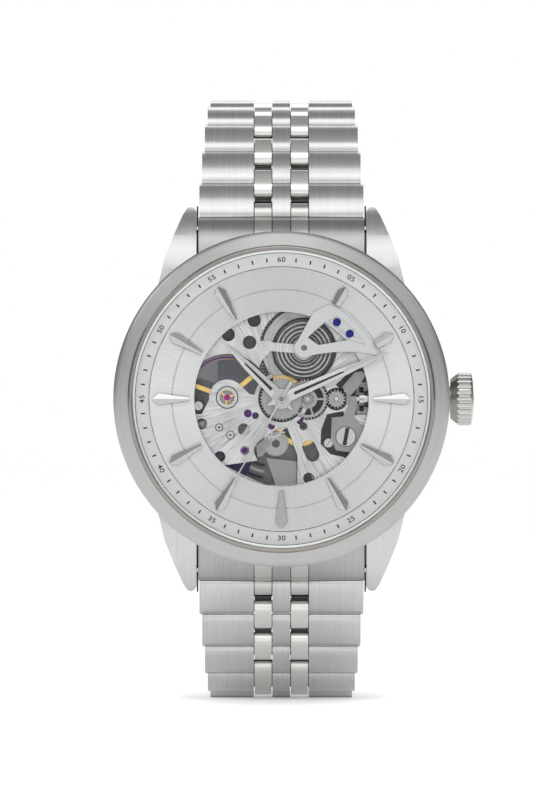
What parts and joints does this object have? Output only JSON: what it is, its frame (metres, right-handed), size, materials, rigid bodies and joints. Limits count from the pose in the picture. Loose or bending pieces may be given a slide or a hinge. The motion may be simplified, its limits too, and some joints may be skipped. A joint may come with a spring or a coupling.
{
  "type": "skeleton wristwatch",
  "caption": "Automatic skeleton wristwatch with a round steel case, an open dial over the movement and a hinged five-column bracelet with a folding clasp.",
  "frame": {"origin": "centre of the case back's rear face, where the watch rests on the wrist", "axes": "+Z to 12 o'clock, +X to the crown at 3 o'clock, -Y out of the dial, +Y into the wrist"},
  "size_m": [0.0451, 0.0545, 0.0758],
  "materials": {
    "case_steel": "satin brushed",
    "bezel_steel": "circular satin with polished step",
    "crystal_glass": "clear",
    "link_steel": "brushed outer links, polished inner links",
    "pin_steel": "turned",
    "white_track": "matt white",
    "dial_silver": "silver sunburst",
    "polished_steel": "polished",
    "bridge_satin": "fine satin silver",
    "blued_steel": "heat blued",
    "movement_grey": "turned",
    "plate_rhodium": "rhodium plated, straight brushed",
    "ruby": "polished ruby",
    "gilt_brass": "gilt",
    "balance_alloy": "gilt, dark edge",
    "spring_steel": "blued spring",
    "wheel_steel": "fine brushed",
    "lever_steel": "grained",
    "rotor_steel": "circular grained",
    "clasp_steel": "brushed",
    "blade_steel": "polished"
  },
  "bodies": {
    "case": {"case_middle": "case_steel", "bezel": "bezel_steel", "front_crystal": "crystal_glass", "case_back": "case_steel", "back_crystal": "crystal_glass", "end_links": "link_steel", "spring_bars": "pin_steel", "chapter_ring": "white_track", "dial": "dial_silver", "hour_markers": "polished_steel", "dial_bridge": "bridge_satin", "blued_screws": "blued_steel", "movement_ring": "movement_grey", "main_plate": "plate_rhodium", "rear_bridge": "plate_rhodium", "balance_cock": "plate_rhodium", "jewels": "ruby", "plate_screws": "polished_steel", "hairspring": "spring_steel"},
    "minute_hand": {"minute_hand": "polished_steel", "cannon_pinion": "polished_steel"},
    "hour_hand": {"hour_hand": "polished_steel", "hour_wheel": "wheel_steel"},
    "second_hand": {"second_hand": "polished_steel", "fourth_wheel": "gilt_brass"},
    "center_wheel": {"center_wheel": "gilt_brass"},
    "third_wheel": {"third_wheel": "gilt_brass"},
    "barrel": {"barrel": "plate_rhodium"},
    "escape_wheel": {"escape_wheel": "polished_steel"},
    "minute_wheel": {"minute_wheel": "wheel_steel"},
    "setting_wheel": {"setting_wheel": "wheel_steel"},
    "pallet_fork": {"pallet_fork": "polished_steel"},
    "balance_wheel": {"balance_wheel": "balance_alloy"},
    "rotor": {"rotor": "rotor_steel"},
    "setting_lever": {"setting_lever": "lever_steel"},
    "winding_stem": {"winding_stem": "polished_steel"},
    "crown": {"crown": "polished_steel"},
    "upper_link_1": {"upper_link_1": "link_steel"},
    "upper_link_2": {"upper_link_2": "link_steel"},
    "upper_link_3": {"upper_link_3": "link_steel"},
    "upper_link_4": {"upper_link_4": "link_steel"},
    "upper_link_5": {"upper_link_5": "link_steel"},
    "upper_link_6": {"upper_link_6": "link_steel"},
    "upper_link_7": {"upper_link_7": "link_steel"},
    "upper_link_8": {"upper_link_8": "link_steel"},
    "upper_link_9": {"upper_link_9": "link_steel"},
    "lower_link_1": {"lower_link_1": "link_steel"},
    "lower_link_2": {"lower_link_2": "link_steel"},
    "lower_link_3": {"lower_link_3": "link_steel"},
    "lower_link_4": {"lower_link_4": "link_steel"},
    "lower_link_5": {"lower_link_5": "link_steel"},
    "lower_link_6": {"lower_link_6": "link_steel"},
    "lower_link_7": {"lower_link_7": "link_steel"},
    "lower_link_8": {"lower_link_8": "link_steel"},
    "lower_link_9": {"lower_link_9": "link_steel"},
    "inner_blade": {"inner_blade": "blade_steel"},
    "middle_blade": {"middle_blade": "blade_steel"},
    "clasp_cover": {"clasp_cover": "clasp_steel"},
    "push_button_left": {"push_button_left": "polished_steel"},
    "push_button_right": {"push_button_right": "polished_steel"}
  },
  "joints": [
    {"name": "minute_hand_turn", "type": "hinge", "parent": "case", "child": "minute_hand", "pos_m": [0, -0.005, 0], "axis": [0, 1, 0], "continuous": true},
    {"name": "hour_hand_turn", "type": "hinge", "parent": "case", "child": "hour_hand", "pos_m": [0, -0.005, 0], "axis": [0, 1, 0], "continuous": true},
    {"name": "minute_wheel_turn", "type": "hinge", "parent": "case", "child": "minute_wheel", "pos_m": [0.0033, -0.005, 0], "axis": [0, 1, 0], "continuous": true},
    {"name": "setting_wheel_turn", "type": "hinge", "parent": "case", "child": "setting_wheel", "pos_m": [0.00688, -0.005, 0], "axis": [0, 1, 0], "continuous": true},
    {"name": "second_hand_turn", "type": "hinge", "parent": "case", "child": "second_hand", "pos_m": [0, -0.005, 0], "axis": [0, 1, 0], "continuous": true},
    {"name": "center_wheel_turn", "type": "hinge", "parent": "case", "child": "center_wheel", "pos_m": [0, -0.005, 0], "axis": [0, 1, 0], "continuous": true},
    {"name": "third_wheel_turn", "type": "hinge", "parent": "case", "child": "third_wheel", "pos_m": [0.00231, -0.005, -0.00276], "axis": [0, 1, 0], "continuous": true},
    {"name": "barrel_turn", "type": "hinge", "parent": "case", "child": "barrel", "pos_m": [0.0028, -0.005, 0.0062], "axis": [0, 1, 0], "continuous": true},
    {"name": "escape_wheel_turn", "type": "hinge", "parent": "case", "child": "escape_wheel", "pos_m": [-0.00123, -0.005, -0.00338], "axis": [0, 1, 0], "continuous": true},
    {"name": "rotor_swing", "type": "hinge", "parent": "case", "child": "rotor", "pos_m": [0, -0.005, 0], "axis": [0, 1, 0], "continuous": true},
    {"name": "pallet_fork_swing", "type": "hinge", "parent": "case", "child": "pallet_fork", "pos_m": [-0.00325, -0.005, -0.00208], "axis": [0, 1, 0], "range_deg": [-6, 6]},
    {"name": "balance_swing", "type": "hinge", "parent": "case", "child": "balance_wheel", "pos_m": [-0.0068, -0.005, 0.0002], "axis": [0, 1, 0], "range_deg": [-270, 270]},
    {"name": "crown_pull", "type": "slide", "parent": "case", "child": "winding_stem", "axis": [1, 0, 0], "range_m": [0, 0.001]},
    {"name": "crown_turn", "type": "hinge", "parent": "winding_stem", "child": "crown", "pos_m": [0.021, -0.0054, 0], "axis": [1, 0, 0], "continuous": true},
    {"name": "setting_lever_swing", "type": "hinge", "parent": "case", "child": "setting_lever", "pos_m": [0.00805, -0.0068, -0.0047], "axis": [0, 1, 0], "range_deg": [0, 12.3]},
    {"name": "upper_hinge_1", "type": "hinge", "parent": "case", "child": "upper_link_1", "pos_m": [0, -0.0024, 0.0232], "axis": [1, 0, 0], "range_deg": [0, 38]},
    {"name": "upper_hinge_2", "type": "hinge", "parent": "upper_link_1", "child": "upper_link_2", "pos_m": [0, 0.00092, 0.02746], "axis": [1, 0, 0], "range_deg": [0, 4]},
    {"name": "upper_hinge_3", "type": "hinge", "parent": "upper_link_2", "child": "upper_link_3", "pos_m": [0, 0.00454, 0.03147], "axis": [1, 0, 0], "range_deg": [0, 12]},
    {"name": "upper_hinge_4", "type": "hinge", "parent": "upper_link_3", "child": "upper_link_4", "pos_m": [0, 0.00891, 0.03464], "axis": [1, 0, 0], "range_deg": [0, 20]},
    {"name": "upper_hinge_5", "type": "hinge", "parent": "upper_link_4", "child": "upper_link_5", "pos_m": [0, 0.0141, 0.03613], "axis": [1, 0, 0], "range_deg": [0, 18]},
    {"name": "upper_hinge_6", "type": "hinge", "parent": "upper_link_5", "child": "upper_link_6", "pos_m": [0, 0.01949, 0.03594], "axis": [1, 0, 0], "range_deg": [0, 17]},
    {"name": "upper_hinge_7", "type": "hinge", "parent": "upper_link_6", "child": "upper_link_7", "pos_m": [0, 0.0246, 0.03418], "axis": [1, 0, 0], "range_deg": [0, 16]},
    {"name": "upper_hinge_8", "type": "hinge", "parent": "upper_link_7", "child": "upper_link_8", "pos_m": [0, 0.02902, 0.03109], "axis": [1, 0, 0], "range_deg": [0, 15]},
    {"name": "upper_hinge_9", "type": "hinge", "parent": "upper_link_8", "child": "upper_link_9", "pos_m": [0, 0.03249, 0.02695], "axis": [1, 0, 0], "range_deg": [0, 14]},
    {"name": "lower_hinge_1", "type": "hinge", "parent": "case", "child": "lower_link_1", "pos_m": [0, -0.0024, -0.0232], "axis": [-1, 0, 0], "range_deg": [0, 38]},
    {"name": "lower_hinge_2", "type": "hinge", "parent": "lower_link_1", "child": "lower_link_2", "pos_m": [0, 0.00092, -0.02746], "axis": [-1, 0, 0], "range_deg": [0, 4]},
    {"name": "lower_hinge_3", "type": "hinge", "parent": "lower_link_2", "child": "lower_link_3", "pos_m": [0, 0.00454, -0.03147], "axis": [-1, 0, 0], "range_deg": [0, 12]},
    {"name": "lower_hinge_4", "type": "hinge", "parent": "lower_link_3", "child": "lower_link_4", "pos_m": [0, 0.00891, -0.03464], "axis": [-1, 0, 0], "range_deg": [0, 20]},
    {"name": "lower_hinge_5", "type": "hinge", "parent": "lower_link_4", "child": "lower_link_5", "pos_m": [0, 0.0141, -0.03613], "axis": [-1, 0, 0], "range_deg": [0, 18]},
    {"name": "lower_hinge_6", "type": "hinge", "parent": "lower_link_5", "child": "lower_link_6", "pos_m": [0, 0.01949, -0.03594], "axis": [-1, 0, 0], "range_deg": [0, 17]},
    {"name": "lower_hinge_7", "type": "hinge", "parent": "lower_link_6", "child": "lower_link_7", "pos_m": [0, 0.0246, -0.03418], "axis": [-1, 0, 0], "range_deg": [0, 16]},
    {"name": "lower_hinge_8", "type": "hinge", "parent": "lower_link_7", "child": "lower_link_8", "pos_m": [0, 0.02902, -0.03109], "axis": [-1, 0, 0], "range_deg": [0, 15]},
    {"name": "lower_hinge_9", "type": "hinge", "parent": "lower_link_8", "child": "lower_link_9", "pos_m": [0, 0.03249, -0.02695], "axis": [-1, 0, 0], "range_deg": [0, 14]},
    {"name": "clasp_to_bracelet", "type": "hinge", "parent": "upper_link_9", "child": "inner_blade", "pos_m": [0, 0.03486, 0.0221], "axis": [1, 0, 0], "range_deg": [0, 20]},
    {"name": "blade_fold", "type": "hinge", "parent": "inner_blade", "child": "middle_blade", "pos_m": [0, 0.03604, -0.01916], "axis": [-1, 0, 0], "range_deg": [0, 110]},
    {"name": "cover_fold", "type": "hinge", "parent": "middle_blade", "child": "clasp_cover", "pos_m": [0, 0.03684, 0.01872], "axis": [1, 0, 0], "range_deg": [0, 105]},
    {"name": "push_button_left_press", "type": "slide", "parent": "clasp_cover", "child": "push_button_left", "axis": [1, 0, 0], "range_m": [0, 0.0005], "stiffness_N_per_m": 800, "springref_m": -0.0005},
    {"name": "push_button_right_press", "type": "slide", "parent": "clasp_cover", "child": "push_button_right", "axis": [-1, 0, 0], "range_m": [0, 0.0005], "stiffness_N_per_m": 800, "springref_m": -0.0005}
  ],
  "couplings": [
    {"joint": "hour_hand_turn", "follows": "minute_hand_turn", "ratio": 0.083333},
    {"joint": "minute_wheel_turn", "follows": "minute_hand_turn", "ratio": -0.33333},
    {"joint": "setting_wheel_turn", "follows": "minute_hand_turn", "ratio": 0.75},
    {"joint": "third_wheel_turn", "follows": "second_hand_turn", "ratio": -0.13333},
    {"joint": "center_wheel_turn", "follows": "second_hand_turn", "ratio": 0.016667},
    {"joint": "barrel_turn", "follows": "second_hand_turn", "ratio": -0.0033333},
    {"joint": "escape_wheel_turn", "follows": "second_hand_turn", "ratio": -9},
    {"joint": "setting_lever_swing", "follows": "crown_pull", "rad_per_m": 212.8}
  ]
}
